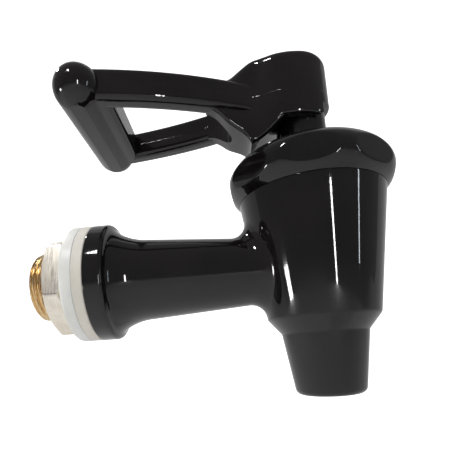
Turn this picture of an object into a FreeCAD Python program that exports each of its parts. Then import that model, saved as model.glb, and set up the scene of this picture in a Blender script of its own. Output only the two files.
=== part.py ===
import FreeCAD, Part
import math
import os

V = FreeCAD.Vector
X_AXIS = V(1, 0, 0)
Y_AXIS = V(0, 1, 0)
Z_AXIS = V(0, 0, 1)

# Self-closing dispensing tap, all sizes in millimetres.
# The origin is the middle of the flange face that seals on the vessel wall.
# X runs along the shank towards the barrel, Z is up and the outlet points down.

# ---- named clearances
RUNNING = 0.05               # radial gap of a shaft in its bore
THREAD_FIT = 0.05            # radial gap between plain mating threads
LOOSE = 0.4                  # radial gap of a washer round the thread
SLIDE_GAP = 0.25             # gap each side of a moulded part that slides past another

# ---- brass threaded shank
THREAD_R = 10.0
THREAD_LENGTH = 17.6         # length outside the flange
THREAD_CHAMFER = 0.8
WATER_R = 6.0                # waterway through the brass
INSERT_R = 8.6               # part moulded into the plastic
INSERT_DEPTH = 18.0
COLLAR_AF = 19.0             # hexagon that stops the insert turning
COLLAR_START = 2.0
COLLAR_LENGTH = 5.0

# ---- washers and back nut
WASHER_R = 16.8
SEALING_T = 2.9
BACKING_T = 3.4
WASHER_EDGE_R = 0.9
SEALING_EDGE_R = 0.3
NUT_AF = 26.2
NUT_T = 6.2
NUT_CHAMFER = 1.1
NUT_TURN = 199.0             # direction of one corner, degrees from +Y towards +Z

# ---- flange and shank of the body
BODY_WATER_R = 5.5           # waterway on through the plastic
FLANGE_R = 16.85
FLANGE_T = 5.0
FLANGE_EDGE_R = 1.3
COVE_END_X = 14.0            # where the flange's cove has run into the shank
SHANK_ROOT_R = 11.8
SHANK_NECK_R = 9.5
NECK_BEFORE_BARREL = 15.0    # distance of the shank's thin end from the barrel's axis
SHANK_BLEND_R = 4.5
REACH = 63.5                 # flange face to barrel axis

# ---- barrel and nozzle of the body
SHOULDER_Z = 20.2            # ledge on which the bonnet seats
BARREL_TOP_R = 21.0
BARREL_BASE_R = 15.6
BARREL_BASE_Z = -14.6
NOZZLE_TOP_R = 12.0
NOZZLE_TOP_Z = -18.9
NOZZLE_TIP_R = 9.4
NOZZLE_TIP_Z = -35.8
NOZZLE_EDGE_R = 1.8
OUTLET_R = 6.9
NECK_R = 18.0                # threaded neck inside the bonnet
NECK_TOP_Z = 28.0
CHAMBER_TOP_R = 15.2
CHAMBER_BEND_Z = 10.0
CHAMBER_BASE_R = 11.6
SEAT_Z = -13.0

# ---- bonnet
RIM_R = 23.9                 # largest radius of the rounded rim
RIM_MID_Z = 25.5
RIM_HALF_HEIGHT = 7.5
CROWN_R = 13.75              # radius where the rounded rim meets the flat crown
FLAT_COUNT = 8
FLAT_DISTANCE = 22.7         # barrel axis to each flat on the rim
FLAT_TURN = -100.3           # direction of the first flat, degrees from +X towards +Y
BOSS_R = 6.85
BOSS_ROOT_R = 2.0
BOSS_TOP_Z = 46.8

# ---- stem and valve
STEM_R = 2.5
TONGUE_T = 4.4               # thickness of the flattened eye
EYE_R = 3.4
PIN_R = 1.5
PIN_Z = 54.0
BUTTON_R = 5.0               # foot of the stem, held in the seat cup
BUTTON_T = 1.9
BUTTON_ABOVE_SEAT = 2.5
COLLAR_R = 4.2               # collar of the stem above the cup's plug
COLLAR_T = 1.5
CUP_FLANGE_T = 1.3
CUP_WALL = 1.2
CUP_MOUTH_R = 13.4
PLUG_R = 9.6
PLUG_HEIGHT = 9.0
SPRING_WASHER_R = 7.4
SPRING_WASHER_T = 0.8
SPRING_R = 5.4
SPRING_WIRE_R = 0.5
SPRING_TURNS = 8

# ---- handle
LIFT_RATE = 4.4              # stem lift per radian of tilt, also the cam's contact offset
TILT_MAX = 25.0              # degrees
LOOP_REACH = 69.3            # barrel axis to the outer face of the end bar
MID_Z = 50.4                 # mould parting height
BAR_R = 6.4
BAR_HALF_WIDTH = 24.0
BAR_WIDTH = 15.0             # end bar along X
PAD_Z = 44.3                 # flat underside of the end bar
ARM_WIDTH = 5.6
ARM_TOP_Z = 55.4
ARM_UNDER_Z = 46.2
ARM_EDGE_R = 1.9
ARM_AT_BAR = 17.2            # half distance between the arms at the end bar
ARM_BOW_X = -38.0            # the arms bow outward a little here
ARM_BOW_HALF = 12.2
WEB_X = -29.0                # where the neck grows out of the arms, from the barrel's axis
WEB_HALF_WIDTH = 10.6
WINDOW_TIP_X = -21.7         # pointed end of the finger window
WINDOW_TIP_LENGTH = 7.0
WINDOW_TIP_HALF = 6.3        # half width where the pointed end starts
WINDOW_OVERRUN = 1.0         # the cut for the window runs this far past the web
PIN_SHORT = 0.1              # the pin's end lies this far inside the head's widest part
NECK_X = -15.6               # narrowest place, where the arms meet the head
NECK_HALF_WIDTH = 6.7
HEAD_HALF_WIDTH = 9.1
HEAD_FRONT_X = 8.3
HEAD_TOP_Z = 63.4
HEAD_EDGE_R = 2.5
HEAD_UNDER_R = 1.0
CHEEK_Z = 43.0               # underside of the head's cheeks
CHEEK_START_X = -6.8         # the cheeks' flat underside, from the barrel's axis
CHEEK_END_X = 3.5
CHIN_X = -16.4
CHIN_Z = 36.5
CHIN_HOLLOW = 2.4            # rise of the hollow from the chin towards the cheeks
NECK_DROP = 3.8              # the underside's drop halfway from the web to the chin
WEB_INSET = 0.4              # the head's section at the web lies this far inside the arms
NOSE_CORNER = 8.3            # round front corner, along the top
NOSE_CORNER_DROP = 7.0       # the same corner, down the front
NOSE_OVERRUN = 1.2           # the side view runs this far past the nose, which the plan cuts
CHEEK_ROUND = 6.0            # height over which the cheeks round up into the front
TOP_END_X = -12.6            # where the flat top turns down towards the arms
TOP_EASE = 0.8               # the top's drop at the neck
PIN_BLIND_Y = -7.9           # the pin's hidden end; its other end is flush with the head


def ring(x0, x1, r_out, r_in):
    """Plain ring along X."""
    outer = Part.makeCylinder(r_out, x1 - x0, V(x0, 0, 0), X_AXIS)
    return outer.cut(Part.makeCylinder(r_in, x1 - x0, V(x0, 0, 0), X_AXIS))


def face_of(edges):
    """Flat face bounded by edges given in order."""
    return Part.Face(Part.Wire(edges))


def polyline(points):
    """Straight edges through points, in order."""
    return [Part.makeLine(a, b) for a, b in zip(points, points[1:])]


def polygon_face(points):
    return face_of(polyline(points + points[:1]))


def spline(points, start=None, end=None):
    """Smooth edge through points, with end directions where given."""
    curve = Part.BSplineCurve()
    if start and end:
        curve.interpolate(Points=points, InitialTangent=start, FinalTangent=end)
    else:
        curve.interpolate(Points=points)
    return curve.toShape()


def barrel_revolve(edges):
    """Solid of revolution round the barrel's axis, from edges in the XZ plane."""
    return face_of(edges).revolve(V(REACH, 0, 0), Z_AXIS, 360)


def barrel_points(pairs):
    """Points in the XZ plane from pairs of radius and height."""
    return [V(REACH + r, 0, z) for r, z in pairs]


def hexagon(across_flats, x0, x1, turn):
    """Hexagonal prism along X with one corner at the given turn."""
    corner_r = across_flats / 2 / math.cos(math.radians(30))
    corners = []
    for k in range(6):
        a = math.radians(turn + 60 * k)
        corners.append(V(x0, corner_r * math.cos(a), corner_r * math.sin(a)))
    return polygon_face(corners).extrude(V(x1 - x0, 0, 0))


# ---------------------------------------------------------------- shank fittings

def make_threaded_shank():
    tube = Part.makeCylinder(THREAD_R, THREAD_LENGTH, V(-THREAD_LENGTH, 0, 0), X_AXIS)
    tip = [e for e in tube.Edges if abs(e.BoundBox.XMax + THREAD_LENGTH) < 1e-6]
    tube = tube.makeChamfer(THREAD_CHAMFER, tip)
    tube = tube.fuse(Part.makeCylinder(INSERT_R, INSERT_DEPTH, V(0, 0, 0), X_AXIS))
    tube = tube.fuse(hexagon(COLLAR_AF, COLLAR_START, COLLAR_START + COLLAR_LENGTH, NUT_TURN))
    bore = Part.makeCylinder(WATER_R, THREAD_LENGTH + INSERT_DEPTH, V(-THREAD_LENGTH, 0, 0), X_AXIS)
    return tube.cut(bore).removeSplitter()


def make_back_nut():
    x1 = -SEALING_T - BACKING_T
    x0 = x1 - NUT_T
    nut = hexagon(NUT_AF, x0, x1, NUT_TURN)
    corner_r = NUT_AF / 2 / math.cos(math.radians(30))
    # a cone on each face takes the corners off at 30 degrees
    drop = NUT_CHAMFER * math.tan(math.radians(30))
    crown = Part.Face(Part.Wire(polyline([
        V(x0, 0, 0), V(x0, corner_r - NUT_CHAMFER, 0), V(x0 + drop, corner_r, 0),
        V(x1 - drop, corner_r, 0), V(x1, corner_r - NUT_CHAMFER, 0), V(x1, 0, 0), V(x0, 0, 0)])))
    nut = nut.common(crown.revolve(V(0, 0, 0), X_AXIS, 360))
    bore = Part.makeCylinder(THREAD_R + THREAD_FIT, NUT_T, V(x0, 0, 0), X_AXIS)
    return nut.cut(bore)


def outer_edge(edge):
    """True for a circular edge on a washer's outside."""
    return hasattr(edge.Curve, "Radius") and abs(edge.Curve.Radius - WASHER_R) < 1e-6


def make_sealing_washer():
    washer = ring(-SEALING_T, 0, WASHER_R, THREAD_R + LOOSE)
    return washer.makeFillet(SEALING_EDGE_R, [e for e in washer.Edges if outer_edge(e)])


def make_backing_washer():
    x1 = -SEALING_T
    washer = ring(x1 - BACKING_T, x1, WASHER_R, THREAD_R + LOOSE)
    rear = [e for e in washer.Edges if outer_edge(e) and e.BoundBox.XMax < x1 - BACKING_T / 2]
    return washer.makeFillet(WASHER_EDGE_R, rear)


# ---------------------------------------------------------------- body

def shank_outside():
    """Flange, cove and tapering shank, reaching the barrel's axis."""
    cove_start = V(FLANGE_T, 0, FLANGE_R - FLANGE_EDGE_R)
    root = V(COVE_END_X, 0, SHANK_ROOT_R)
    taper = (SHANK_ROOT_R - SHANK_NECK_R) / (REACH - NECK_BEFORE_BARREL - COVE_END_X)
    axis_r = SHANK_NECK_R - taper * NECK_BEFORE_BARREL
    edge = Part.Arc(V(FLANGE_T - FLANGE_EDGE_R, 0, FLANGE_R),
                    V(FLANGE_T - FLANGE_EDGE_R * (1 - math.sin(math.radians(45))), 0,
                      FLANGE_R - FLANGE_EDGE_R * (1 - math.cos(math.radians(45)))),
                    cove_start).toShape()
    cove = spline([cove_start, root], V(0, 0, -1) * 6, V(1, 0, -taper) * 14)
    edges = polyline([V(0, 0, 0), V(0, 0, FLANGE_R), V(FLANGE_T - FLANGE_EDGE_R, 0, FLANGE_R)])
    edges += [edge, cove]
    edges += polyline([root, V(REACH, 0, axis_r), V(REACH, 0, 0), V(0, 0, 0)])
    return face_of(edges).revolve(V(0, 0, 0), X_AXIS, 360)


def barrel_outside():
    """Neck, shoulder, tapering barrel and nozzle."""
    taper = (NOZZLE_TOP_R - NOZZLE_TIP_R) / (NOZZLE_TOP_Z - NOZZLE_TIP_Z)
    round_top = NOZZLE_TIP_Z + NOZZLE_EDGE_R
    side = V(REACH + NOZZLE_TIP_R + taper * NOZZLE_EDGE_R, 0, round_top)
    under = V(REACH + NOZZLE_TIP_R - NOZZLE_EDGE_R, 0, NOZZLE_TIP_Z)
    edge = spline([under, side], V(1, 0, 0) * NOZZLE_EDGE_R, V(taper, 0, 1) * NOZZLE_EDGE_R)
    start = V(REACH, 0, NOZZLE_TIP_Z)
    upper = barrel_points([(NOZZLE_TOP_R, NOZZLE_TOP_Z), (BARREL_BASE_R, BARREL_BASE_Z),
                           (BARREL_TOP_R, SHOULDER_Z), (NECK_R, SHOULDER_Z),
                           (NECK_R, NECK_TOP_Z), (0, NECK_TOP_Z), (0, NOZZLE_TIP_Z)])
    return barrel_revolve(polyline([start, under]) + [edge] + polyline([side] + upper))


def make_tap_body():
    body = shank_outside().fuse(barrel_outside()).removeSplitter()
    joint = [e for e in body.Edges
             if e.BoundBox.XMin > REACH - 1.2 * BARREL_TOP_R and e.BoundBox.XMax < REACH
             and e.BoundBox.ZLength > SHANK_NECK_R and e.BoundBox.YLength > SHANK_NECK_R]
    body = body.makeFillet(SHANK_BLEND_R, joint)
    chamber = barrel_revolve(polyline(barrel_points([
        (0, SEAT_Z), (CHAMBER_BASE_R, SEAT_Z), (CHAMBER_TOP_R, CHAMBER_BEND_Z),
        (CHAMBER_TOP_R, NECK_TOP_Z), (0, NECK_TOP_Z), (0, SEAT_Z)])))
    outlet = Part.makeCylinder(OUTLET_R, SEAT_Z - NOZZLE_TIP_Z, V(REACH, 0, NOZZLE_TIP_Z), Z_AXIS)
    inlet = Part.makeCylinder(BODY_WATER_R, REACH, V(0, 0, 0), X_AXIS)
    body = body.cut(chamber).cut(outlet).cut(inlet)
    socket = Part.makeCylinder(INSERT_R, INSERT_DEPTH, V(0, 0, 0), X_AXIS)
    socket = socket.fuse(hexagon(COLLAR_AF, COLLAR_START, COLLAR_START + COLLAR_LENGTH, NUT_TURN))
    return body.cut(socket)


# ---------------------------------------------------------------- bonnet

def rim_arc():
    """Outside of the rounded rim: from the shoulder round to the flat crown."""
    half_width = RIM_R - CROWN_R
    seat_angle = math.asin((SHOULDER_Z - RIM_MID_Z) / RIM_HALF_HEIGHT)
    ellipse = Part.Ellipse(V(REACH + CROWN_R, 0, RIM_MID_Z), half_width, RIM_HALF_HEIGHT)
    ellipse.Axis = V(0, -1, 0)
    ellipse.XAxis = X_AXIS
    return ellipse.toShape(seat_angle, math.pi / 2)


def make_bonnet():
    rim = rim_arc()
    seat = V(REACH + CROWN_R + (RIM_R - CROWN_R) * math.cos(
        math.asin((SHOULDER_Z - RIM_MID_Z) / RIM_HALF_HEIGHT)), 0, SHOULDER_Z)
    crown_z = RIM_MID_Z + RIM_HALF_HEIGHT
    crown_edge = V(REACH + CROWN_R, 0, crown_z)
    root = spline([V(REACH + BOSS_R + BOSS_ROOT_R, 0, crown_z), V(REACH + BOSS_R, 0, crown_z + BOSS_ROOT_R)],
                  V(-BOSS_ROOT_R, 0, 0), V(0, 0, BOSS_ROOT_R))
    edges = polyline([V(REACH, 0, SHOULDER_Z), seat]) + [rim]
    edges += polyline([crown_edge, V(REACH + BOSS_R + BOSS_ROOT_R, 0, crown_z)]) + [root]
    edges += polyline([V(REACH + BOSS_R, 0, crown_z + BOSS_ROOT_R), V(REACH + BOSS_R, 0, BOSS_TOP_Z),
                       V(REACH, 0, BOSS_TOP_Z), V(REACH, 0, SHOULDER_Z)])
    bonnet = barrel_revolve(edges)
    for k in range(FLAT_COUNT):
        bonnet = bonnet.cut(rim_flat(FLAT_TURN + k * 360 / FLAT_COUNT))
    roof_z = NECK_TOP_Z + CUP_FLANGE_T
    thread = Part.makeCylinder(NECK_R + THREAD_FIT, roof_z - SHOULDER_Z, V(REACH, 0, SHOULDER_Z), Z_AXIS)
    guide = Part.makeCylinder(STEM_R + RUNNING, BOSS_TOP_Z - roof_z, V(REACH, 0, roof_z), Z_AXIS)
    return bonnet.cut(thread).cut(guide)


def rim_flat(turn):
    """Block whose near face cuts one flat on the rim."""
    depth = RIM_R - FLAT_DISTANCE + 1
    block = Part.makeBox(depth, 2 * RIM_R, 2 * RIM_HALF_HEIGHT,
                         V(FLAT_DISTANCE, -RIM_R, RIM_MID_Z - RIM_HALF_HEIGHT))
    block.rotate(V(0, 0, 0), Z_AXIS, turn)
    block.translate(V(REACH, 0, 0))
    return block


# ---------------------------------------------------------------- valve

BUTTON_Z = SEAT_Z + BUTTON_ABOVE_SEAT
PLUG_TOP_Z = SEAT_Z + PLUG_HEIGHT
WASHER_Z = PLUG_TOP_Z + COLLAR_T
SPRING_BASE_Z = WASHER_Z + SPRING_WASHER_T
ROOF_Z = NECK_TOP_Z + CUP_FLANGE_T
LIFT = LIFT_RATE * math.radians(TILT_MAX)


def make_stem():
    stem = Part.makeCylinder(STEM_R, PIN_Z - BUTTON_Z, V(REACH, 0, BUTTON_Z), Z_AXIS)
    stem = stem.fuse(Part.makeCylinder(BUTTON_R, BUTTON_T, V(REACH, 0, BUTTON_Z), Z_AXIS))
    stem = stem.fuse(Part.makeCylinder(COLLAR_R, COLLAR_T, V(REACH, 0, PLUG_TOP_Z), Z_AXIS))
    neck_z = BOSS_TOP_Z - LIFT - SLIDE_GAP
    slab = Part.makeBox(4 * EYE_R, TONGUE_T, 2 * EYE_R + PIN_Z - neck_z,
                        V(REACH - 2 * EYE_R, -TONGUE_T / 2, neck_z))
    above = Part.makeCylinder(STEM_R, PIN_Z - neck_z, V(REACH, 0, neck_z), Z_AXIS)
    stem = stem.cut(above.cut(slab))
    eye = Part.makeCylinder(EYE_R, TONGUE_T, V(REACH, -TONGUE_T / 2, PIN_Z), Y_AXIS)
    hole = Part.makeCylinder(PIN_R + RUNNING, TONGUE_T, V(REACH, -TONGUE_T / 2, PIN_Z), Y_AXIS)
    return stem.fuse(eye).cut(hole).removeSplitter()


def make_seat_cup():
    """Silicone cup: plug on the seat, conical wall, rim clamped under the bonnet."""
    outer_mouth = CUP_MOUTH_R + CUP_WALL
    cup = barrel_revolve(polyline(barrel_points([
        (0, SEAT_Z), (PLUG_R - 1, SEAT_Z), (PLUG_R, SEAT_Z + 1), (PLUG_R, PLUG_TOP_Z),
        (outer_mouth, NECK_TOP_Z), (NECK_R, NECK_TOP_Z), (NECK_R, ROOF_Z), (CUP_MOUTH_R, ROOF_Z),
        (CUP_MOUTH_R, NECK_TOP_Z), (PLUG_R - CUP_WALL, PLUG_TOP_Z), (0, PLUG_TOP_Z), (0, SEAT_Z)])))
    pocket = Part.makeCylinder(BUTTON_R + RUNNING, BUTTON_T, V(REACH, 0, BUTTON_Z), Z_AXIS)
    neck = Part.makeCylinder(STEM_R + RUNNING, PLUG_TOP_Z - BUTTON_Z, V(REACH, 0, BUTTON_Z), Z_AXIS)
    return cup.cut(pocket).cut(neck)


def make_spring_washer():
    centre = V(REACH, 0, WASHER_Z)
    washer = Part.makeCylinder(SPRING_WASHER_R, SPRING_WASHER_T, centre, Z_AXIS)
    return washer.cut(Part.makeCylinder(STEM_R + RUNNING, SPRING_WASHER_T, centre, Z_AXIS))


def make_closing_spring():
    """Coil of half turns, each a piece of a torus tilted so that they join smoothly."""
    base = SPRING_BASE_Z + SPRING_WIRE_R
    rise = (ROOF_Z - SPRING_WIRE_R - base) / (2 * SPRING_TURNS)
    tilt = math.asin(rise / 2 / SPRING_R)
    spring = None
    for k in range(2 * SPRING_TURNS):
        side = 1 if k % 2 == 0 else -1
        start = V(REACH, side * SPRING_R * math.cos(tilt), base + k * rise)
        centre = V(REACH, 0, base + (k + 0.5) * rise)
        wire = Part.Face(Part.Wire(Part.makeCircle(SPRING_WIRE_R, start, X_AXIS)))
        turning_axis = V(0, -side * math.sin(tilt), -math.cos(tilt))
        half_turn = wire.revolve(centre, turning_axis, 180)
        spring = half_turn if spring is None else spring.fuse(half_turn)
    return spring


# ---------------------------------------------------------------- handle
# Handle points are measured from the barrel's axis: x is negative towards the wall.

BAR_X = BAR_R - LOOP_REACH
BAR_INNER_X = BAR_WIDTH - LOOP_REACH
BALL_Y = BAR_HALF_WIDTH - BAR_R
SLOT_HALF = BOSS_R + SLIDE_GAP
CAM_Z = BOSS_TOP_Z + RUNNING
TONGUE_SLOT_HALF = TONGUE_T / 2 + SLIDE_GAP
BELOW_Z = CHIN_Z - BAR_WIDTH
ABOVE_Z = HEAD_TOP_Z + BAR_WIDTH


def plan(x, y):
    """Point below the handle, for outlines seen from above."""
    return V(REACH + x, y, BELOW_Z)


def elevation(x, z):
    """Point beside the handle, for outlines seen from the side."""
    return V(REACH + x, -BAR_HALF_WIDTH, z)


def extrude_up(face):
    return face.extrude(V(0, 0, ABOVE_Z - BELOW_Z))


def extrude_across(face):
    return face.extrude(V(0, 2 * BAR_HALF_WIDTH, 0))


def end_bar():
    """Crossbar with ball ends and a flat pad underneath."""
    bar = Part.makeCylinder(BAR_R, 2 * BALL_Y, V(REACH + BAR_X, -BALL_Y, MID_Z), Y_AXIS)
    for side in (-1, 1):
        bar = bar.fuse(Part.makeSphere(BAR_R, V(REACH + BAR_X, side * BALL_Y, MID_Z)))
    inner = Part.makeBox(BAR_INNER_X - BAR_X, 2 * BALL_Y, ARM_TOP_Z - ARM_UNDER_Z,
                         V(REACH + BAR_X, -BALL_Y, ARM_UNDER_Z))
    long_edges = [e for e in inner.Edges if e.BoundBox.YLength > BALL_Y]
    inner = inner.makeFillet(ARM_EDGE_R, long_edges)
    below = Part.makeBox(2 * BAR_WIDTH, 2 * BAR_HALF_WIDTH, BAR_R,
                         V(REACH - LOOP_REACH - 1, -BAR_HALF_WIDTH, PAD_Z - BAR_R))
    return bar.fuse(inner).cut(below)


def rounded_section(centre, across, half_width, half_height, radius):
    """Upright rounded rectangle, as a closed wire of lines and arcs."""
    def at(u, z):
        return centre + across * u + V(0, 0, z)

    bend = radius * (1 - math.sqrt(0.5))
    u, z = half_width, half_height
    corners = []
    for a, b in ((1, -1), (1, 1), (-1, 1), (-1, -1)):
        side = at(a * u, b * (z - radius))
        mid = at(a * (u - bend), b * (z - bend))
        end = at(a * (u - radius), b * z)
        corners.append((end, mid, side) if a * b < 0 else (side, mid, end))
    wire = []
    for k, (start, mid, end) in enumerate(corners):
        wire.append(Part.Arc(start, mid, end).toShape())
        wire.append(Part.makeLine(end, corners[(k + 1) % 4][0]))
    return Part.Wire(wire)


def arm(side):
    """One arm of the loop: a rounded section swept along a bowed line."""
    mid_z = (ARM_TOP_Z + ARM_UNDER_Z) / 2
    path = spline([V(REACH + BAR_X, side * ARM_AT_BAR, mid_z),
                   V(REACH + ARM_BOW_X, side * ARM_BOW_HALF, mid_z),
                   V(REACH + NECK_X, side * (NECK_HALF_WIDTH - ARM_WIDTH / 2), mid_z)])
    start = path.valueAt(path.FirstParameter)
    across = path.tangentAt(path.FirstParameter).cross(Z_AXIS)
    section = rounded_section(start, across, ARM_WIDTH / 2, (ARM_TOP_Z - ARM_UNDER_Z) / 2, ARM_EDGE_R)
    return Part.Wire(path).makePipeShell([section], True, True)


def head_plan():
    """Neck, flare and round nose of the head, seen from above."""
    edges = [Part.makeLine(plan(WEB_X, -WEB_HALF_WIDTH), plan(WEB_X, WEB_HALF_WIDTH))]
    mid_x = (WEB_X + NECK_X) / 2
    mid_half = (WEB_HALF_WIDTH + NECK_HALF_WIDTH) / 2
    for side in (1, -1):
        edges.append(spline([plan(WEB_X, side * WEB_HALF_WIDTH), plan(mid_x, side * mid_half),
                             plan(NECK_X, side * NECK_HALF_WIDTH),
                             plan(CHEEK_START_X, side * HEAD_HALF_WIDTH)],
                            V(7, -1.9 * side, 0), V(6, 0.9 * side, 0)))
        edges.append(spline([plan(CHEEK_START_X, side * HEAD_HALF_WIDTH), plan(HEAD_FRONT_X, 0)],
                            V(24, 3.6 * side, 0), V(0, -20 * side, 0)))
    return Part.Face(Part.Wire(Part.__sortEdges__(edges)))


def head_elevation():
    """Side view of the head: chin, cheeks, round front corner, top and sloping neck."""
    past = HEAD_FRONT_X + NOSE_OVERRUN
    corner = HEAD_FRONT_X - NOSE_CORNER
    web_top = ARM_TOP_Z - WEB_INSET
    web_under = ARM_UNDER_Z + WEB_INSET
    cheek_front = elevation(past, CHEEK_Z + CHEEK_ROUND)
    nose = elevation(past, HEAD_TOP_Z - NOSE_CORNER_DROP)
    chin = elevation(CHIN_X, CHIN_Z)
    cheek_start = elevation(CHEEK_START_X, CHEEK_Z)
    cheek_end = elevation(CHEEK_END_X, CHEEK_Z)
    top_front = elevation(corner, HEAD_TOP_Z)
    top_rear = elevation(TOP_END_X, HEAD_TOP_Z)
    hollow = elevation((CHIN_X + CHEEK_START_X) / 2, CHIN_Z + CHIN_HOLLOW)
    slope = elevation((WEB_X + 2 * NECK_X) / 3, (HEAD_TOP_Z + ARM_TOP_Z) / 2 - WEB_INSET)
    neck_under = elevation((WEB_X + CHIN_X) / 2, ARM_UNDER_Z - NECK_DROP)
    edges = [spline([elevation(WEB_X, web_under), neck_under, chin], V(10, 0, -1), V(4, 0, -16))]
    edges.append(spline([chin, hollow, cheek_start]))
    edges.append(Part.makeLine(cheek_start, cheek_end))
    edges.append(spline([cheek_end, cheek_front], V(8, 0, 0), V(0, 0, 8)))
    edges.append(Part.makeLine(cheek_front, nose))
    edges.append(spline([nose, top_front], V(0, 0, 10), V(-10, 0, 0)))
    edges.append(Part.makeLine(top_front, top_rear))
    neck_top = elevation(NECK_X, HEAD_TOP_Z - TOP_EASE)
    edges.append(spline([top_rear, neck_top, slope, elevation(WEB_X, web_top)],
                        V(-4, 0, 0), V(-9, 0, -1)))
    edges.append(Part.makeLine(elevation(WEB_X, web_top), elevation(WEB_X, web_under)))
    return face_of(edges)


def head_block():
    head = extrude_up(head_plan()).common(extrude_across(head_elevation()))
    head = head.makeFillet(HEAD_EDGE_R, rim_edges(head, MID_Z, ABOVE_Z))
    return head.makeFillet(HEAD_UNDER_R, rim_edges(head, BELOW_Z, MID_Z))


def rim_edges(head, z0, z1):
    """Edges between the side walls and the top or underside, within a height range."""
    edges = []
    for e in head.Edges:
        box = e.BoundBox
        upright = box.XLength < 1e-3 and box.YLength < 1e-3
        crosswise = box.XLength < 1e-2 and box.YLength > 1
        at_web = box.XMin < REACH + WEB_X + 1e-3 and box.XMax < REACH + WEB_X + 0.1
        if box.ZMin > z0 and box.ZMax < z1 and not (upright or crosswise or at_web):
            edges.append(e)
    return edges


def window_tip():
    """Pointed end of the finger window, between the arms."""
    back = WINDOW_TIP_X - WINDOW_TIP_LENGTH
    half = WINDOW_TIP_HALF
    rear = WEB_X - WINDOW_OVERRUN
    tip = spline([plan(back, half), plan(WINDOW_TIP_X, 0), plan(back, -half)],
                 V(8, -2.6, 0), V(-8, -2.6, 0))
    sides = polyline([plan(back, -half), plan(rear, -half - WEB_INSET),
                      plan(rear, half + WEB_INSET), plan(back, half)])
    return extrude_up(face_of([tip] + sides))


def cam_point(tilt):
    """Point where the cam touches the boss at a tilt, in radians, from the barrel's axis.

    The cam is an involute round the pin, so the stem rises in proportion to the tilt."""
    depth = PIN_Z - CAM_Z + LIFT_RATE * tilt
    return elevation(depth * math.sin(tilt) + LIFT_RATE * math.cos(tilt),
                     PIN_Z - depth * math.cos(tilt) + LIFT_RATE * math.sin(tilt))


def hood_space():
    """Room for the boss between the cheeks, roofed by the cam."""
    limit = math.radians(TILT_MAX + 2)
    cam = spline([cam_point(limit * k / 8) for k in range(9)])
    last = cam_point(limit)
    past = V(REACH + HEAD_FRONT_X + 5, last.y, last.z)
    floor = [elevation(-SLOT_HALF, BELOW_Z), elevation(-SLOT_HALF, CAM_Z), cam_point(0)]
    edges = polyline(floor) + [cam]
    edges += polyline([last, past, V(past.x, past.y, BELOW_Z), floor[0]])
    room = face_of(edges).extrude(V(0, 2 * SLOT_HALF, 0))
    room.translate(V(0, BAR_HALF_WIDTH - SLOT_HALF, 0))
    return room


def tongue_slot():
    """Slot in which the stem's eye stands while the handle tilts."""
    r = EYE_R + SLIDE_GAP
    half = STEM_R + SLIDE_GAP
    reach = PIN_Z - CHEEK_Z
    upright = Part.makeBox(2 * half, 2 * TONGUE_SLOT_HALF, reach, V(-half, -TONGUE_SLOT_HALF, -reach))
    leaning = upright.copy()
    leaning.rotate(V(0, 0, 0), Y_AXIS, -TILT_MAX)
    eye = Part.makeCylinder(r, 2 * TONGUE_SLOT_HALF, V(0, -TONGUE_SLOT_HALF, 0), Y_AXIS)
    slot = upright.fuse(leaning).fuse(eye)
    slot.translate(V(REACH, 0, PIN_Z))
    return slot


def pin_solid():
    length = HEAD_HALF_WIDTH - PIN_SHORT - PIN_BLIND_Y
    return Part.makeCylinder(PIN_R, length, V(REACH, PIN_BLIND_Y, PIN_Z), Y_AXIS)


def make_handle():
    handle = end_bar().fuse(arm(-1)).fuse(arm(1)).fuse(head_block())
    for space in (window_tip(), hood_space(), tongue_slot(), pin_solid()):
        handle = handle.cut(space)
    return handle.removeSplitter()


def make_handle_pin():
    return pin_solid()


# ---------------------------------------------------------------- export

PARTS = {
    "tap_body": make_tap_body,
    "threaded_shank": make_threaded_shank,
    "back_nut": make_back_nut,
    "backing_washer": make_backing_washer,
    "sealing_washer": make_sealing_washer,
    "bonnet": make_bonnet,
    "stem": make_stem,
    "seat_cup": make_seat_cup,
    "spring_washer": make_spring_washer,
    "closing_spring": make_closing_spring,
    "handle": make_handle,
    "handle_pin": make_handle_pin,
}

os.makedirs("parts", exist_ok=True)
for name, make in PARTS.items():
    shape = make()
    box = shape.BoundBox
    print(name, "valid" if shape.isValid() else "INVALID", len(shape.Solids), "solid",
          "volume %.1f" % shape.Volume, "x %.2f %.2f y %.2f %.2f z %.2f %.2f" % (
              box.XMin, box.XMax, box.YMin, box.YMax, box.ZMin, box.ZMax))
    shape.exportStep("parts/" + name + ".step")
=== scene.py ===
import math

import bpy
import numpy as np
from mathutils import Matrix


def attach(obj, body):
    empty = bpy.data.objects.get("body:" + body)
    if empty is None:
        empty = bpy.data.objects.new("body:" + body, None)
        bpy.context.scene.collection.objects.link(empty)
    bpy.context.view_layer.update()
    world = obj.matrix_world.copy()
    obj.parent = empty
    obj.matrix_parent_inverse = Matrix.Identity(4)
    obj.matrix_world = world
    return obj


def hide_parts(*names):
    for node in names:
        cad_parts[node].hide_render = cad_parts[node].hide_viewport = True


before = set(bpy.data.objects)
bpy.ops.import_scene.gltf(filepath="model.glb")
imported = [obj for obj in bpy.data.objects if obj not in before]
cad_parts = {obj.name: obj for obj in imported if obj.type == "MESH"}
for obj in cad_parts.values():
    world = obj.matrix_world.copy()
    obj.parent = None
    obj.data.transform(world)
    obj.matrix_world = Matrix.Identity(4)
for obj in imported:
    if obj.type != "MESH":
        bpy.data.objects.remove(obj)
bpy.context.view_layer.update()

scene = bpy.context.scene
MM = 0.001

# All shapes are worked out in millimetres in the part's frame: the origin is the middle of the
# flange face, X runs along the shank to the barrel's axis at REACH, Z is up.
REACH = 63.5
WATER_R = 6.0
BODY_WATER_R = 5.5
INSERT_R = 8.6
INSERT_DEPTH = 18.0
# what a visible face keeps from a CAD face that it would else lie on
HAIR = 0.02
# degrees of bend past which an edge is drawn sharp
SHARP = 38


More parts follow.
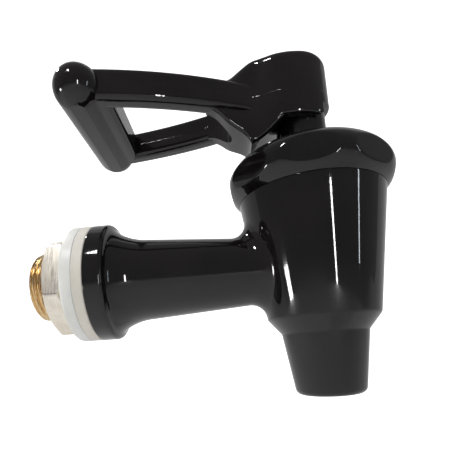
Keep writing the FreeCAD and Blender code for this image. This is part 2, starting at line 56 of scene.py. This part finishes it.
# ---------------------------------------------------------------- mesh helpers

def unit(v):
    return v / np.linalg.norm(v)


def smooth(mesh, sharp):
    """Smooth shading that breaks at edges bent by more than sharp degrees."""
    mesh.shade_smooth()
    mesh.set_sharp_from_angle(angle=math.radians(sharp))


def add_mesh(name, shape, body, material, nodes=(), sharp=SHARP):
    """Object from (points in millimetres, faces), riding on a body and standing for CAD nodes."""
    verts, faces = shape
    mesh = bpy.data.meshes.new(name)
    mesh.from_pydata((np.asarray(verts, float) * MM).tolist(), [],
                     [list(map(int, face)) for face in faces])
    mesh.validate()
    smooth(mesh, sharp)
    mesh.materials.append(material)
    obj = bpy.data.objects.new(name, mesh)
    scene.collection.objects.link(obj)
    if body:
        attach(obj, body)
    if nodes:
        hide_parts(*nodes)
    return obj


def arc_between(first, last, turn, t):
    """Vector a share t of the way round from first to last, which are turn radians apart."""
    return (first * np.sin((1 - t) * turn) + last * np.sin(t * turn)) / np.sin(turn)


def rounded(corners, closed=True, step=9.0, support=0.25):
    """Outline with its corners rounded: each corner is (a, b, radius).

    A round takes a point every step degrees, and a support point lies just past each end of it.
    """
    points = []
    count = len(corners)
    for k, (a, b, radius) in enumerate(corners):
        p = np.array((a, b), float)
        if radius == 0 or (not closed and k in (0, count - 1)):
            points.append(p)
            continue
        u = unit(np.array(corners[k - 1][:2], float) - p)
        v = unit(np.array(corners[(k + 1) % count][:2], float) - p)
        inside = math.acos(max(-1, min(1, float(u @ v))))
        trim = radius / math.tan(inside / 2)
        centre = p + unit(u + v) * radius / math.sin(inside / 2)
        start, end = p + u * trim, p + v * trim
        turn = math.pi - inside
        steps = max(3, math.ceil(math.degrees(turn) / step))
        points.append(start + u * min(support, radius))
        for i in range(steps + 1):
            points.append(centre + arc_between(start - centre, end - centre, turn, i / steps))
        points.append(end + v * min(support, radius))
    return np.array(points)


def ring_faces(rings, segments, closed):
    """Quads between rings of points; closed joins the last ring to the first."""
    faces = []
    for i in range(rings if closed else rings - 1):
        a, b = i * segments, ((i + 1) % rings) * segments
        for k in range(segments):
            n = (k + 1) % segments
            faces.append((a + k, a + n, b + n, b + k))
    return faces


def angles(segments):
    return np.arange(segments) * 2 * math.pi / segments


def ring_x(x, r, angle):
    """Ring of points round the shank's axis at one x; r is one radius or one for each angle."""
    return np.stack((np.full(len(angle), x), r * np.cos(angle), r * np.sin(angle)), axis=-1)


def from_nearest(angle, first, spacing):
    """Angle of each point from the nearest of the directions that start at first."""
    return (angle - first + spacing / 2) % spacing - spacing / 2


def turned(outline, along, segments):
    """Closed outline of (radius, along) points revolved about X or about the barrel's axis."""
    angle = angles(segments)
    r = outline[:, :1]
    s = np.repeat(outline[:, 1:2], segments, axis=1)
    c, d = r * np.cos(angle), r * np.sin(angle)
    grid = np.stack((s, c, d) if along == "x" else (c + REACH, d, s), axis=-1)
    return grid.reshape(-1, 3), ring_faces(len(outline), segments, True)


def outward(obj):
    """Turns the faces of a closed piece outward."""
    bpy.context.view_layer.objects.active = obj
    bpy.ops.object.select_all(action="DESELECT")
    obj.select_set(True)
    bpy.ops.object.mode_set(mode="EDIT")
    bpy.ops.mesh.select_all(action="SELECT")
    bpy.ops.mesh.normals_make_consistent(inside=False)
    bpy.ops.object.mode_set(mode="OBJECT")


def add_shell(name, shape, body, material, nodes=(), sharp=SHARP):
    obj = add_mesh(name, shape, body, material, nodes, sharp)
    outward(obj)
    return obj


def boolean(target, tool, operation):
    """Joins or cuts target with tool, which is used up."""
    modifier = target.modifiers.new("boolean", "BOOLEAN")
    modifier.operation = operation
    modifier.solver = "EXACT"
    modifier.object = tool
    bpy.context.view_layer.objects.active = target
    bpy.ops.object.modifier_apply(modifier=modifier.name)
    bpy.data.objects.remove(tool)


# ---------------------------------------------------------------- materials

def new_material(name):
    material = bpy.data.materials.new(name)
    material.use_nodes = True
    tree = material.node_tree
    return material, tree, tree.nodes["Principled BSDF"]


def texture(tree, kind, coords, **values):
    node = tree.nodes.new(kind)
    for key, value in values.items():
        node.inputs[key].default_value = value
    tree.links.new(coords, node.inputs["Vector"])
    return node


def ramp(tree, source, low, high, from_low, from_high):
    """Colour mix of two colours or values by a source between two levels."""
    node = tree.nodes.new("ShaderNodeMapRange")
    node.inputs["From Min"].default_value = from_low
    node.inputs["From Max"].default_value = from_high
    tree.links.new(source, node.inputs["Value"])
    if isinstance(low, (int, float)):
        node.inputs["To Min"].default_value = low
        node.inputs["To Max"].default_value = high
        return node.outputs["Result"]
    mix = tree.nodes.new("ShaderNodeMix")
    mix.data_type = "RGBA"
    mix.inputs["A"].default_value = (*low, 1)
    mix.inputs["B"].default_value = (*high, 1)
    tree.links.new(node.outputs["Result"], mix.inputs["Factor"])
    return mix.outputs["Result"]


def combine(tree, operation, first, second=None):
    """Result of a math node; second is a socket, a number or, where it takes one input, nothing."""
    node = tree.nodes.new("ShaderNodeMath")
    node.operation = operation
    tree.links.new(first, node.inputs[0])
    if isinstance(second, float):
        node.inputs[1].default_value = second
    elif second is not None:
        tree.links.new(second, node.inputs[1])
    return node.outputs["Value"]


def object_coords(tree, scale=(1, 1, 1)):
    coords = tree.nodes.new("ShaderNodeTexCoord")
    mapping = tree.nodes.new("ShaderNodeMapping")
    mapping.inputs["Scale"].default_value = scale
    tree.links.new(coords.outputs["Object"], mapping.inputs["Vector"])
    return mapping.outputs["Vector"]


def gloss_black(name, tint, rough=0.035, line_z=None):
    """Polished black moulding: faint flow marks, smudges and, at line_z, the mould's parting line."""
    material, tree, shader = new_material(name)
    coords = object_coords(tree)
    broad = texture(tree, "ShaderNodeTexNoise", coords, Scale=55.0, Detail=4.0)
    fine = texture(tree, "ShaderNodeTexNoise", coords, Scale=900.0, Detail=3.0)
    colour = ramp(tree, broad.outputs["Fac"], tint, tuple(c * 1.9 for c in tint), 0.35, 0.7)
    tree.links.new(colour, shader.inputs["Base Color"])
    smudge = ramp(tree, broad.outputs["Fac"], rough, rough + 0.05, 0.45, 0.75)
    tree.links.new(smudge, shader.inputs["Roughness"])
    shader.inputs["IOR"].default_value = 1.5
    bump = tree.nodes.new("ShaderNodeBump")
    bump.inputs["Strength"].default_value = 0.02
    bump.inputs["Distance"].default_value = 0.2 * MM
    tree.links.new(fine.outputs["Fac"], bump.inputs["Height"])
    tree.links.new(bump.outputs["Normal"], shader.inputs["Normal"])
    if line_z is not None:
        height = tree.nodes.new("ShaderNodeSeparateXYZ")
        tree.links.new(coords, height.inputs["Vector"])
        off = combine(tree, "SUBTRACT", height.outputs["Z"], line_z * MM)
        away = combine(tree, "ABSOLUTE", off)
        ridge = tree.nodes.new("ShaderNodeBump")
        ridge.inputs["Strength"].default_value = 0.5
        ridge.inputs["Distance"].default_value = 0.06 * MM
        raised = ramp(tree, away, 1.0, 0.0, 0.03 * MM, 0.16 * MM)
        tree.links.new(raised, ridge.inputs["Height"])
        tree.links.new(bump.outputs["Normal"], ridge.inputs["Normal"])
        tree.links.new(ridge.outputs["Normal"], shader.inputs["Normal"])
    return material


def metal(name, dark, light, rough, line_scale):
    """Turned or plated metal with fine lines left by the tool."""
    material, tree, shader = new_material(name)
    lines = texture(tree, "ShaderNodeTexNoise", object_coords(tree, line_scale), Scale=1.0, Detail=3.0)
    stain = texture(tree, "ShaderNodeTexNoise", object_coords(tree), Scale=160.0, Detail=3.0)
    colour = ramp(tree, stain.outputs["Fac"], dark, light, 0.35, 0.6)
    tree.links.new(colour, shader.inputs["Base Color"])
    wear = ramp(tree, lines.outputs["Fac"], rough, rough + 0.12, 0.3, 0.7)
    tree.links.new(wear, shader.inputs["Roughness"])
    shader.inputs["Metallic"].default_value = 1.0
    bump = tree.nodes.new("ShaderNodeBump")
    bump.inputs["Strength"].default_value = 0.15
    bump.inputs["Distance"].default_value = 0.1 * MM
    tree.links.new(lines.outputs["Fac"], bump.inputs["Height"])
    tree.links.new(bump.outputs["Normal"], shader.inputs["Normal"])
    return material


def milky(name, low, high, rough, scatter):
    """Translucent washer or silicone, slightly clouded."""
    material, tree, shader = new_material(name)
    cloud = texture(tree, "ShaderNodeTexNoise", object_coords(tree), Scale=110.0, Detail=4.0)
    colour = ramp(tree, cloud.outputs["Fac"], low, high, 0.35, 0.65)
    tree.links.new(colour, shader.inputs["Base Color"])
    dull = ramp(tree, cloud.outputs["Fac"], rough, rough + 0.15, 0.3, 0.7)
    tree.links.new(dull, shader.inputs["Roughness"])
    shader.inputs["Subsurface Weight"].default_value = scatter
    shader.inputs["Subsurface Radius"].default_value = (0.004, 0.0035, 0.003)
    shader.inputs["Subsurface Scale"].default_value = 1.0
    return material


PARTING_Z = 50.4

black = gloss_black("black_gloss", (0.0042, 0.0036, 0.0040))
handle_black = gloss_black("handle_gloss", (0.0048, 0.0038, 0.0042), line_z=PARTING_Z)
brass = metal("turned_brass", (0.62, 0.42, 0.20), (0.85, 0.66, 0.40), 0.22, (4000, 300, 300))
plated = metal("plated_nut", (0.72, 0.66, 0.56), (0.86, 0.81, 0.72), 0.24, (2500, 200, 200))
steel = metal("stainless", (0.52, 0.52, 0.52), (0.68, 0.68, 0.68), 0.2, (300, 300, 2000))
washer_cool = milky("washer_plastic", (0.80, 0.80, 0.76), (0.88, 0.88, 0.84), 0.35, 0.25)
washer_warm = milky("washer_silicone", (0.72, 0.68, 0.60), (0.80, 0.76, 0.67), 0.45, 0.3)
natural = milky("stem_plastic", (0.74, 0.74, 0.70), (0.82, 0.82, 0.79), 0.4, 0.1)
silicone = milky("seat_silicone", (0.66, 0.64, 0.58), (0.78, 0.76, 0.70), 0.5, 0.3)


# ---------------------------------------------------------------- body

SHOULDER_Z = 20.2
BARREL_TOP_R = 21.0
BARREL_BASE_R = 15.6
BARREL_BASE_Z = -14.6
BARREL_SLOPE = (BARREL_TOP_R - BARREL_BASE_R) / (SHOULDER_Z - BARREL_BASE_Z)
NECK_R = 18.0
NECK_TOP_Z = 28.0
CHAMBER_R = 15.2
CHAMBER_TAPER_Z = 10.0
CHAMBER_BASE_R = 11.6
CHAMBER_BASE_Z = -13.0
NOZZLE_TOP_R = 12.0
NOZZLE_TOP_Z = -18.9
NOZZLE_TIP_R = 9.4
NOZZLE_TIP_Z = -35.8
OUTLET_R = 6.9
FLANGE_R = 16.85
FLANGE_T = 5.0
COVE_R = 14.4
COVE_END_X = 14.0
SHANK_ROOT_R = 11.8
SHANK_NECK_R = 9.5
SHANK_NECK_X = REACH - 15.0
SHANK_TAPER = (SHANK_ROOT_R - SHANK_NECK_R) / (SHANK_NECK_X - COVE_END_X)
BLEND_R = 4.5
DRILL_R = 5.3
DRILL_FROM_X, DRILL_TO_X = 20.0, 52.0


def barrel_gap(p):
    """Distance of points from the barrel's cone, negative inside it."""
    radius = BARREL_BASE_R + BARREL_SLOPE * (p[..., 2] - BARREL_BASE_Z)
    return (np.hypot(p[..., 0] - REACH, p[..., 1]) - radius) / math.hypot(1, BARREL_SLOPE)


def barrel_normal(p):
    n = np.stack((p[..., 0] - REACH, p[..., 1], np.zeros_like(p[..., 0])), axis=-1)
    n /= np.linalg.norm(n, axis=-1, keepdims=True)
    n[..., 2] = -BARREL_SLOPE
    return n / math.hypot(1, BARREL_SLOPE)


def solve(place, low, high, target):
    """Value of x for each angle at which the point's gap to the barrel is the target, by halving."""
    for _ in range(40):
        mid = (low + high) / 2
        outside = barrel_gap(place(mid)) > target
        low, high = np.where(outside, mid, low), np.where(outside, high, mid)
    return (low + high) / 2


def shank_solid(segments=256):
    """Rings of the shank from its bore's inner end out over the flange to the blend on the barrel."""
    angle = angles(segments)
    y, z = np.cos(angle), np.sin(angle)
    ones = np.ones(segments)
    lean = math.hypot(1, SHANK_TAPER)
    normal = np.stack((SHANK_TAPER * ones, y, z), axis=-1) / lean

    def shank_r(x):
        return SHANK_ROOT_R - SHANK_TAPER * (x - COVE_END_X)

    def on_shank(x):
        return np.stack((x, shank_r(x) * y, shank_r(x) * z), axis=-1)

    def ball(x):
        """Centres of the balls that roll on the shank and round off its corner with the barrel."""
        return on_shank(x) + normal * BLEND_R

    def bore(x):
        return np.stack((x, BODY_WATER_R * y, BODY_WATER_R * z), axis=-1)

    search = DRILL_FROM_X * ones, REACH * ones
    centre = ball(solve(ball, *search, BLEND_R))
    first = -normal
    last = -barrel_normal(centre)
    outline = rounded([(9.0, 0, 0), (FLANGE_R, 0, 0.35), (FLANGE_R, FLANGE_T, 1.3),
                       (COVE_R, FLANGE_T + 0.5, 0.6)], closed=False)
    rings = [ring_x(x, r, angle) for r, x in outline[:-3]]
    cove_start = np.array((outline[-4][1], outline[-4][0]))
    cove_end = np.array((COVE_END_X, shank_r(COVE_END_X)))
    leaving, arriving = np.array((0.6, -5.2)), np.array((13.0, -13.0 * SHANK_TAPER))
    for t in np.linspace(0, 1, 26)[1:]:
        x, r = ((2 * t ** 3 - 3 * t ** 2 + 1) * cove_start + (t ** 3 - 2 * t ** 2 + t) * leaving
                + (3 * t ** 2 - 2 * t ** 3) * cove_end + (t ** 3 - t ** 2) * arriving)
        rings.append(ring_x(x, r, angle))
    contact = centre + first * BLEND_R
    for t in (0.02, 0.1, 0.25, 0.5, 0.75, 0.9, 0.97):
        rings.append(on_shank(COVE_END_X + (contact[:, 0] - COVE_END_X) * t))
    turn = np.arccos(np.clip((first * last).sum(-1), -1, 1))[:, None]
    for t in np.linspace(0, 1, 15):
        rings.append(centre + arc_between(first, last, turn, t) * BLEND_R)
    tangent = last * np.cos(turn) - first
    tangent /= np.linalg.norm(tangent, axis=-1, keepdims=True)
    landing = centre + last * BLEND_R
    rings.append(landing + tangent * -0.25 + last * 0.03)
    rings.append(landing + tangent * -0.25 + last * 1.5)
    rings.append(bore(solve(bore, *search, -1.6)))
    for x, r in ((INSERT_DEPTH, BODY_WATER_R), (INSERT_DEPTH, INSERT_R), (0.6, INSERT_R)):
        rings.append(ring_x(x, r, angle))
    return np.concatenate(rings), ring_faces(len(rings), segments, True)


def barrel_solid():
    """Barrel, nozzle and neck with the hollow inside them."""
    outline = rounded([
        (OUTLET_R, NOZZLE_TIP_Z, 0.5), (NOZZLE_TIP_R - HAIR, NOZZLE_TIP_Z, 1.8),
        (NOZZLE_TOP_R, NOZZLE_TOP_Z, 0.7), (BARREL_BASE_R, BARREL_BASE_Z, 1.3),
        (BARREL_TOP_R, SHOULDER_Z, 0.3), (NECK_R, SHOULDER_Z, 0), (NECK_R, NECK_TOP_Z, 0),
        (CHAMBER_R, NECK_TOP_Z, 0), (CHAMBER_R, CHAMBER_TAPER_Z, 0),
        (CHAMBER_BASE_R, CHAMBER_BASE_Z, 0), (OUTLET_R, CHAMBER_BASE_Z, 0)])
    return turned(outline, "z", 256)


def drill_solid():
    """Rod that opens the shank's bore through the barrel's wall."""
    outline = np.array([(0.01, DRILL_FROM_X), (DRILL_R, DRILL_FROM_X), (DRILL_R, DRILL_TO_X),
                        (0.01, DRILL_TO_X)])
    return turned(outline, "x", 64)


body_shell = add_shell("body_shell", barrel_solid(), "body", black, ["tap_body"])
boolean(body_shell, add_shell("shank_tool", shank_solid(), None, black), "UNION")
boolean(body_shell, add_shell("drill_tool", drill_solid(), None, black), "DIFFERENCE")
smooth(body_shell.data, SHARP)


# ---------------------------------------------------------------- bonnet

RIM_R = 23.9
RIM_MID_Z = 25.5
RIM_HALF_HEIGHT = 7.5
RIM_STEPS = 60
CROWN_R = 13.75
CROWN_Z = RIM_MID_Z + RIM_HALF_HEIGHT
FLAT_COUNT = 8
FLAT_TURN = -100.3
FLAT_DISTANCE = 22.7
FLAT_EDGE = 0.22
BOSS_R = 6.85
BOSS_TOP_Z = 46.7
GUIDE_R = 2.6
ROOF_Z = 29.3
SOCKET_R = 18.1


def bonnet_outline():
    """Half an oval for the rim, then the crown, the boss and the hollow underneath."""
    low = math.asin((SHOULDER_Z - RIM_MID_Z) / RIM_HALF_HEIGHT)
    turn = np.linspace(low, math.pi / 2, RIM_STEPS)
    rim = np.stack((CROWN_R + (RIM_R - CROWN_R) * np.cos(turn),
                    RIM_MID_Z + RIM_HALF_HEIGHT * np.sin(turn)), axis=-1)
    tail = rounded([(CROWN_R, CROWN_Z, 0), (BOSS_R, CROWN_Z, 2.0), (BOSS_R, BOSS_TOP_Z, 0.4),
                    (GUIDE_R, BOSS_TOP_Z, 0), (GUIDE_R, ROOF_Z, 0), (SOCKET_R, ROOF_Z, 0),
                    (SOCKET_R, SHOULDER_Z + HAIR, 0), (rim[0, 0] - 0.3, SHOULDER_Z + HAIR, 0)],
                   closed=False)
    return np.concatenate((rim, tail[1:]))


def flattened(r, limit):
    """Radius held back to the flat's limit, with the edge between flat and rim eased."""
    over = np.clip((r - limit) / FLAT_EDGE, -1, 1)
    eased = limit - FLAT_EDGE * (1 - over) ** 2 / 4
    return np.where(r < limit - FLAT_EDGE, r, np.where(r > limit + FLAT_EDGE, limit, eased))


def bonnet_solid(segments=512):
    outline = bonnet_outline()
    angle = angles(segments)
    r = np.repeat(outline[:, :1], segments, axis=1)
    z = np.repeat(outline[:, 1:2], segments, axis=1)
    away = from_nearest(angle, math.radians(FLAT_TURN), 2 * math.pi / FLAT_COUNT)
    limit = FLAT_DISTANCE / np.cos(away)[None, :]
    on_rim = (outline[:, :1] > CROWN_R) & (np.arange(len(outline))[:, None] < RIM_STEPS)
    r = np.where(on_rim, flattened(r, limit), r)
    grid = np.stack((REACH + r * np.cos(angle), r * np.sin(angle), z), axis=-1)
    return grid.reshape(-1, 3), ring_faces(len(outline), segments, True)


add_shell("bonnet_shell", bonnet_solid(), "body", black, ["bonnet"])


# ---------------------------------------------------------------- shank fittings

THREAD_R = 10.0
THREAD_END_X = -17.6
THREAD_STEP = 0.1
PITCH = 1.5
THREAD_DEPTH = 0.8
FLANK_SLOPE = 2.6
ROOT_SHARE = 0.3
END_CHAMFER = 0.9
END_CHAMFER_SLOPE = 1.1
BRASS_SOCKET_R = 8.5
MOUTH_R = 8.9


def thread_solid(segments=144):
    """Brass tube with a right-handed thread that runs out at its chamfered end."""
    angle = angles(segments)
    xs = np.concatenate(([THREAD_END_X], np.arange(THREAD_END_X + THREAD_STEP, -0.5, THREAD_STEP),
                         [-0.4, 0.0]))
    rings = []
    for x in xs:
        phase = (x / PITCH - angle / (2 * math.pi)) % 1.0
        tooth = np.clip(np.abs(phase - 0.5) * FLANK_SLOPE - ROOT_SHARE, 0, 1)
        chamfer = THREAD_R - END_CHAMFER + (x - THREAD_END_X) * END_CHAMFER_SLOPE
        rings.append(ring_x(x, np.minimum(THREAD_R - THREAD_DEPTH * (1 - tooth), chamfer), angle))
    inside = rounded([(BRASS_SOCKET_R, 0.0, 0), (BRASS_SOCKET_R, INSERT_DEPTH, 0),
                      (WATER_R, INSERT_DEPTH, 0), (WATER_R, THREAD_END_X, 0.4),
                      (MOUTH_R, THREAD_END_X, 0)], closed=False)
    for r, x in inside[:-1]:
        rings.append(ring_x(x, r, angle))
    return np.concatenate(rings), ring_faces(len(rings), segments, True)


add_shell("brass_shank", thread_solid(), "body", brass, ["threaded_shank"], sharp=60)

NUT_X0, NUT_X1 = -12.5, -6.3
NUT_HALF_T = (NUT_X1 - NUT_X0) / 2
NUT_MID_X = (NUT_X1 + NUT_X0) / 2
NUT_IN_R = 26.2 / 2
NUT_TURN = 199.0
NUT_CORNER_EASE = 0.25
NUT_CONE_DEPTH = 1.6
NUT_CONE_INSET = 0.35
NUT_EDGE = 0.12
NUT_BORE_R = 10.06
SINK_R = 10.9
SINK_DEPTH = 0.8


def nut_solid(segments=360):
    """Hexagon nut with coned corners, softened edges and a countersunk bore."""
    angle = angles(segments)
    away = from_nearest(angle, math.radians(NUT_TURN + 30), math.pi / 3)
    corner = NUT_IN_R / math.cos(math.pi / 6) - NUT_CORNER_EASE
    hexagon = np.minimum(NUT_IN_R / np.cos(away), corner)
    rings = []
    for x in np.concatenate((np.linspace(NUT_X0, NUT_X0 + NUT_CONE_DEPTH, 17),
                             np.linspace(NUT_X1 - NUT_CONE_DEPTH, NUT_X1, 17))):
        depth = NUT_HALF_T - abs(x - NUT_MID_X)
        cone = NUT_IN_R - NUT_CONE_INSET + depth / math.tan(math.radians(30))
        cone = cone - max(0.0, NUT_EDGE - depth) * 1.2
        rings.append(ring_x(x, np.minimum(hexagon, cone), angle))
    for r, x in ((SINK_R, NUT_X1), (NUT_BORE_R, NUT_X1 - SINK_DEPTH),
                 (NUT_BORE_R, NUT_X0 + SINK_DEPTH), (SINK_R, NUT_X0)):
        rings.append(ring_x(x, r, angle))
    return np.concatenate(rings), ring_faces(len(rings), segments, True)


add_shell("hex_nut", nut_solid(), "body", plated, ["back_nut"], sharp=25)

WASHER_BORE_R = 10.4
WASHER_R = 16.8
SEALING_X = -2.9


def washer_solid(x0, x1, bore_edges, rim_edges):
    """Ring from x0 to x1 with an edge radius at each end of its bore and of its rim."""
    outline = rounded([(WASHER_BORE_R, x0, bore_edges[0]), (WASHER_BORE_R, x1, bore_edges[1]),
                       (WASHER_R, x1, rim_edges[1]), (WASHER_R, x0, rim_edges[0])])
    return turned(outline, "x", 192)


add_shell("inner_washer", washer_solid(0, SEALING_X, (0.2, 0.2), (0.3, 0.3)),
          "body", washer_warm, ["sealing_washer"])
add_shell("outer_washer", washer_solid(SEALING_X, NUT_X1, (0.2, 0.3), (0.25, 0.9)),
          "body", washer_cool, ["backing_washer"])


# ---------------------------------------------------------------- CAD pieces that stay

for node, material in (("stem", natural), ("seat_cup", silicone), ("spring_washer", steel),
                       ("closing_spring", steel), ("handle_pin", steel), ("handle", handle_black)):
    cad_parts[node].data.materials.clear()
    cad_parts[node].data.materials.append(material)


# ---------------------------------------------------------------- floor, lights and camera

CAMERA_AT = (35.97, -110.08, -20.82)
CAMERA_AZIMUTH, CAMERA_ELEVATION, CAMERA_ROLL = 2.41, -7.85, 4.02
ROOM_LIGHT = (0.22, 0.215, 0.22, 1)
WHITE = (1, 1, 1, 1)


def view_axes(azimuth, elevation):
    """Right and backward directions of a view. Azimuth 0 looks along +Y and grows towards +X."""
    az, el = math.radians(azimuth), math.radians(elevation)
    back = np.array((math.sin(az) * math.cos(el), -math.cos(az) * math.cos(el), math.sin(el)))
    return np.array((math.cos(az), math.sin(az), 0)), back


def placement(right, up, back, position):
    """World matrix with these axes and a position in millimetres."""
    matrix = np.eye(4)
    matrix[:3, 0], matrix[:3, 1], matrix[:3, 2] = right, up, back
    matrix[:3, 3] = np.array(position) * MM
    return Matrix(matrix.tolist())


def make_camera():
    data = bpy.data.cameras.new("camera")
    data.lens = 30.31
    data.sensor_width = 36.0
    data.shift_x = 0.0382
    data.shift_y = 0.1508
    data.clip_start = 0.005
    data.clip_end = 20.0
    camera = bpy.data.objects.new("camera", data)
    right, back = view_axes(CAMERA_AZIMUTH, CAMERA_ELEVATION)
    up = np.cross(back, right)
    cos_roll, sin_roll = math.cos(math.radians(CAMERA_ROLL)), math.sin(math.radians(CAMERA_ROLL))
    camera.matrix_world = placement(right * cos_roll - up * sin_roll, right * sin_roll + up * cos_roll,
                                    back, CAMERA_AT)
    scene.collection.objects.link(camera)
    scene.camera = camera


def make_world():
    """White to the camera, and a dim even light to everything else."""
    world = bpy.data.worlds.new("studio")
    world.use_nodes = True
    scene.world = world
    tree = world.node_tree
    tree.nodes.clear()
    out = tree.nodes.new("ShaderNodeOutputWorld")
    seen = tree.nodes.new("ShaderNodeBackground")
    seen.inputs["Color"].default_value = WHITE
    lit = tree.nodes.new("ShaderNodeBackground")
    lit.inputs["Color"].default_value = ROOM_LIGHT
    mix = tree.nodes.new("ShaderNodeMixShader")
    path = tree.nodes.new("ShaderNodeLightPath")
    tree.links.new(path.outputs["Is Camera Ray"], mix.inputs["Fac"])
    tree.links.new(lit.outputs["Background"], mix.inputs[1])
    tree.links.new(seen.outputs["Background"], mix.inputs[2])
    tree.links.new(mix.outputs["Shader"], out.inputs["Surface"])


make_camera()
make_world()

FLOOR_Z = -150.0
FLOOR_HALF_WIDTH = 4000.0
FLOOR_FRONT_Y, FLOOR_BACK_Y = -2500.0, 900.0
FLOOR_BEND_R = 500.0
BACKDROP_TOP_Z = 3000.0
DIM_Y, BRIGHT_Y = -340.0, -20.0


def backdrop_surface(steps=24):
    """Floor that curves up into a backdrop far behind the object."""
    line = [(FLOOR_FRONT_Y, FLOOR_Z)]
    for k in range(steps + 1):
        a = k / steps * math.pi / 2
        line.append((FLOOR_BACK_Y - FLOOR_BEND_R + FLOOR_BEND_R * math.sin(a),
                     FLOOR_Z + FLOOR_BEND_R - FLOOR_BEND_R * math.cos(a)))
    line.append((FLOOR_BACK_Y, BACKDROP_TOP_Z))
    verts = [(x, y, z) for y, z in line for x in (-FLOOR_HALF_WIDTH, FLOOR_HALF_WIDTH)]
    return verts, [(2 * k, 2 * k + 1, 2 * k + 3, 2 * k + 2) for k in range(len(line) - 1)]


def paper():
    """Pale sheet that glows white to the camera and less in the gloss of the object."""
    material, tree, shader = new_material("floor")
    grain = texture(tree, "ShaderNodeTexNoise", object_coords(tree), Scale=8.0, Detail=2.0)
    colour = ramp(tree, grain.outputs["Fac"], (0.80, 0.80, 0.80), (0.84, 0.84, 0.84), 0.3, 0.7)
    tree.links.new(colour, shader.inputs["Base Color"])
    shader.inputs["Roughness"].default_value = 0.9
    shader.inputs["Emission Color"].default_value = WHITE
    path = tree.nodes.new("ShaderNodeLightPath")
    place = tree.nodes.new("ShaderNodeSeparateXYZ")
    tree.links.new(object_coords(tree), place.inputs["Vector"])
    # the sheet under and behind the object is bright, and the room in front of it is dim
    bright = ramp(tree, place.outputs["Y"], 0.02, 0.24, DIM_Y * MM, BRIGHT_Y * MM)
    glossy = combine(tree, "MULTIPLY", path.outputs["Is Glossy Ray"], bright)
    indirect = combine(tree, "MAXIMUM", glossy, path.outputs["Is Transmission Ray"])
    seen = combine(tree, "MAXIMUM", path.outputs["Is Camera Ray"], indirect)
    tree.links.new(seen, shader.inputs["Emission Strength"])
    return material


floor = add_mesh("floor", backdrop_surface(), None, paper())

LIGHT_DISTANCE = 900.0


def area_light(name, azimuth, elevation, width, height, watts, colour=(1, 1, 1)):
    """Box of light that faces the barrel from the given angles in degrees; sizes in millimetres."""
    right, back = view_axes(azimuth, elevation)
    data = bpy.data.lights.new(name, "AREA")
    data.shape = "RECTANGLE"
    data.size, data.size_y = width * MM, height * MM
    data.energy = watts
    data.color = colour
    light = bpy.data.objects.new(name, data)
    light.matrix_world = placement(right, np.cross(back, right), back,
                                   np.array((REACH, 0, 0)) + back * LIGHT_DISTANCE)
    scene.collection.objects.link(light)


area_light("tall_strip", 17, -6, 30, 400, 1.9)
area_light("side_strip", 60, 6, 24, 300, 0.35, (0.85, 0.93, 1.0))
area_light("front_lamp", -30, 48, 80, 80, 3.2)
area_light("left_lamp", -112, 50, 60, 60, 2.4)
area_light("nut_lamp", -70, -8, 120, 120, 1.6)

scene.view_settings.view_transform = "Standard"
